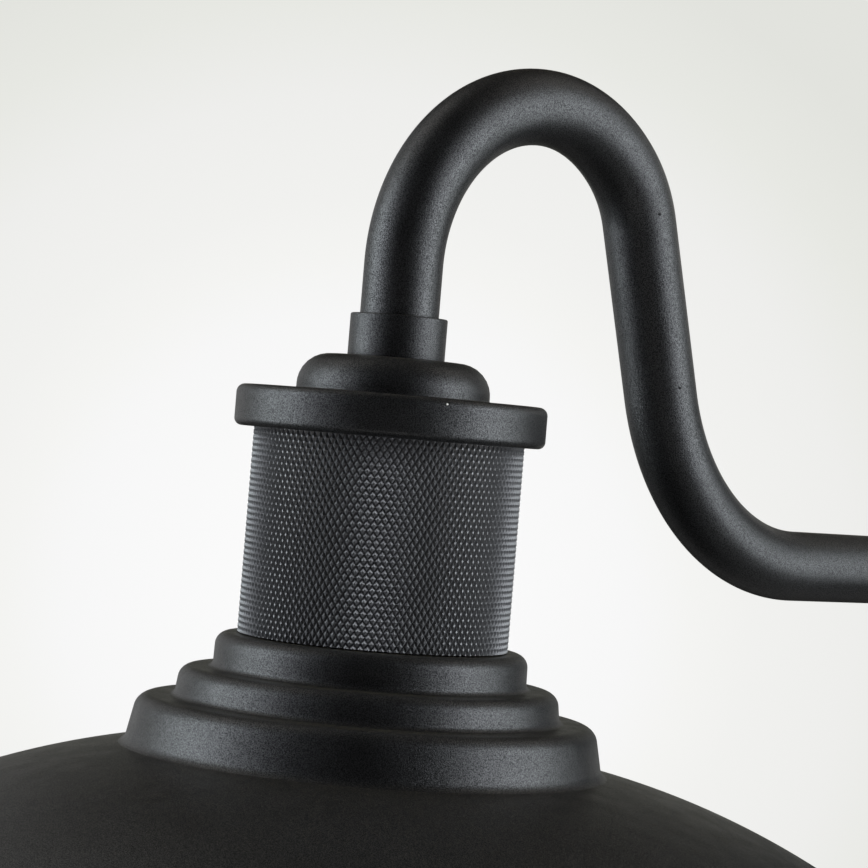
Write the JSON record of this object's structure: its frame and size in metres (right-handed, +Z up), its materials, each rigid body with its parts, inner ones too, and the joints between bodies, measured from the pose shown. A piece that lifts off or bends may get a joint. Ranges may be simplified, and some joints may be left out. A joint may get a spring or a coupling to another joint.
{
  "type": "gooseneck wall lamp",
  "caption": "Wall lamp with a bent tube arm on a round wall plate, a knurled lampholder housing and a spun dome shade over a screw-in bulb.",
  "frame": {"origin": "on the wall plane at the back of the wall plate, level with the arm where it leaves the plate", "axes": "+Y out of the lamp's back into the wall, so the arm and shade reach along -Y; +Z up; +X to the right seen from the room"},
  "size_m": [0.304, 0.407, 0.2297],
  "materials": {
    "black_powder_coat": "matte black fine-textured powder coat",
    "knurled_coat": "black coat on diamond knurling",
    "zinc_plated_steel": "zinc plated",
    "green_steel": "green dyed zinc plate",
    "brass": "plain",
    "nickel_plate": "bright nickel plate",
    "porcelain": "glazed white porcelain",
    "foam_rubber": "closed-cell foam",
    "black_insulation": "extruded wire insulation",
    "white_insulation": "extruded wire insulation",
    "green_insulation": "extruded wire insulation",
    "connector_plastic": "moulded",
    "vitrite": "black glass insulator",
    "bulb_glass": "clear blown glass",
    "phosphor": "phosphor coated filament"
  },
  "bodies": {
    "root": {"wall_plate": "black_powder_coat", "wall_gasket": "foam_rubber", "mounting_bar": "zinc_plated_steel", "plate_screw_left": "zinc_plated_steel", "plate_screw_right": "zinc_plated_steel", "cap_nut_left": "black_powder_coat", "cap_nut_right": "black_powder_coat", "ground_screw": "green_steel", "ground_wire": "green_insulation", "connector_line": "connector_plastic", "connector_neutral": "connector_plastic", "connector_ground": "connector_plastic", "arm_collar": "black_powder_coat", "wall_bush": "zinc_plated_steel", "wall_nipple": "zinc_plated_steel", "plate_washer": "zinc_plated_steel", "plate_lock_nut": "zinc_plated_steel", "arm_tube": "black_powder_coat", "lead_line": "black_insulation", "lead_neutral": "white_insulation", "arm_coupling": "black_powder_coat", "head_bush": "zinc_plated_steel", "head_nipple": "zinc_plated_steel", "socket_lid": "black_powder_coat", "lock_washer": "zinc_plated_steel", "head_lock_nut": "zinc_plated_steel", "lampholder_bracket": "zinc_plated_steel", "bracket_screw_front": "zinc_plated_steel", "bracket_screw_rear": "zinc_plated_steel", "lampholder_body": "porcelain", "screw_shell": "brass", "centre_contact": "brass", "contact_rivet": "brass", "shell_rivet": "brass", "line_terminal": "brass", "line_terminal_screw": "brass", "neutral_terminal": "brass", "neutral_terminal_screw": "brass", "knurled_barrel": "knurled_coat", "stepped_collar": "black_powder_coat", "shade": "black_powder_coat", "shade_ring": "porcelain"},
    "bulb_carrier": {"bulb_tip": "zinc_plated_steel"},
    "bulb": {"bulb_insulator": "vitrite", "bulb_cap": "nickel_plate", "bulb_glass": "bulb_glass", "bulb_stem": "bulb_glass", "filament_hub_upper": "zinc_plated_steel", "filament_hub_lower": "zinc_plated_steel", "filament_1": "phosphor", "filament_2": "phosphor", "filament_3": "phosphor", "filament_4": "phosphor"}
  },
  "joints": [
    {"name": "bulb_travel", "type": "slide", "parent": "root", "child": "bulb_carrier", "axis": [0, 0, -1], "range_m": [0, 0.01452]},
    {"name": "bulb_turn", "type": "hinge", "parent": "bulb_carrier", "child": "bulb", "pos_m": [0, -0.255, -0.03], "axis": [0, 0, -1], "range_deg": [0, 1440]}
  ],
  "couplings": [
    {"joint": "bulb_travel", "follows": "bulb_turn", "m_per_rad": 0.00057757}
  ]
}
